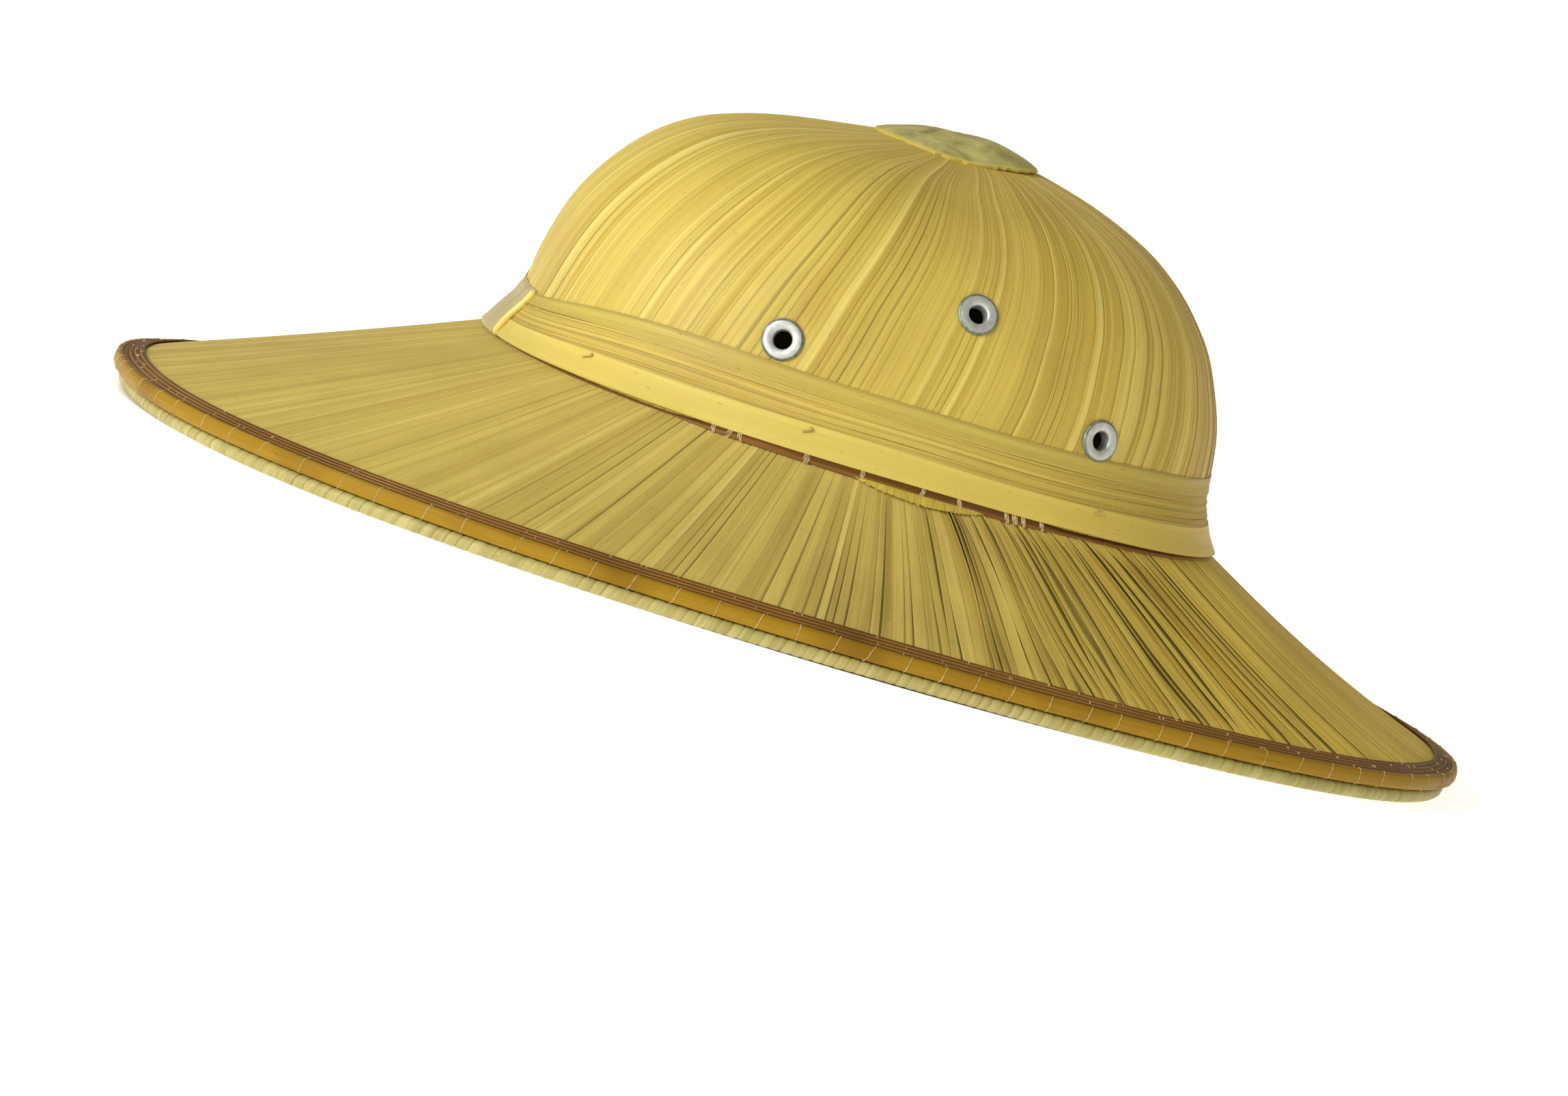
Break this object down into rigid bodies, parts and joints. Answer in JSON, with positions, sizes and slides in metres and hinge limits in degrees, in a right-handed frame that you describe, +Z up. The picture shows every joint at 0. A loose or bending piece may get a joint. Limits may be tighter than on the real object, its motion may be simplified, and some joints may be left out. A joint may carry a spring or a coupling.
{
  "type": "pith helmet",
  "caption": "Sun helmet of straw-coloured palm leaf: oval crown with a pleated leaf band and vent eyelets, sloping leaf brim, and a rim of bamboo, cane and wound leaf.",
  "frame": {"origin": "on the ground under the middle of the rim, which the hat stands on", "axes": "+X to the wearer's left, +Y to the back of the hat, +Z up"},
  "size_m": [0.292, 0.384, 0.1317],
  "materials": {
    "crown_leaf": "satin dried palm leaf",
    "brim_leaf": "satin dried palm leaf",
    "patch_leaf": "matt mottled leaf",
    "band_bright_leaf": "smooth glossy leaf",
    "band_leaf": "satin folded leaf",
    "wrap_leaf": "satin pale leaf",
    "brown_cane": "satin split cane",
    "amber_bamboo": "semi-gloss bamboo skin",
    "wound_leaf": "matt wound leaf",
    "eyelet_aluminium": "bright rolled"
  },
  "bodies": {
    "root": {"crown_shell": "crown_leaf", "brim": "brim_leaf", "top_patch": "patch_leaf", "eyelet_left_front": "eyelet_aluminium", "eyelet_left_top": "eyelet_aluminium", "eyelet_left_back": "eyelet_aluminium", "eyelet_right_front": "eyelet_aluminium", "eyelet_right_top": "eyelet_aluminium", "eyelet_right_back": "eyelet_aluminium", "junction_cane": "brown_cane", "band_lower_strip": "band_bright_leaf", "band_pleat_1": "band_leaf", "band_pleat_2": "band_leaf", "band_pleat_3": "band_leaf", "band_upper_strip": "band_leaf", "band_wrap": "wrap_leaf", "rim_cane_1": "brown_cane", "rim_cane_2": "brown_cane", "rim_cane_3": "brown_cane", "rim_cane_4": "brown_cane", "rim_hoop": "amber_bamboo", "rim_welt": "wound_leaf"}
  },
  "joints": []
}
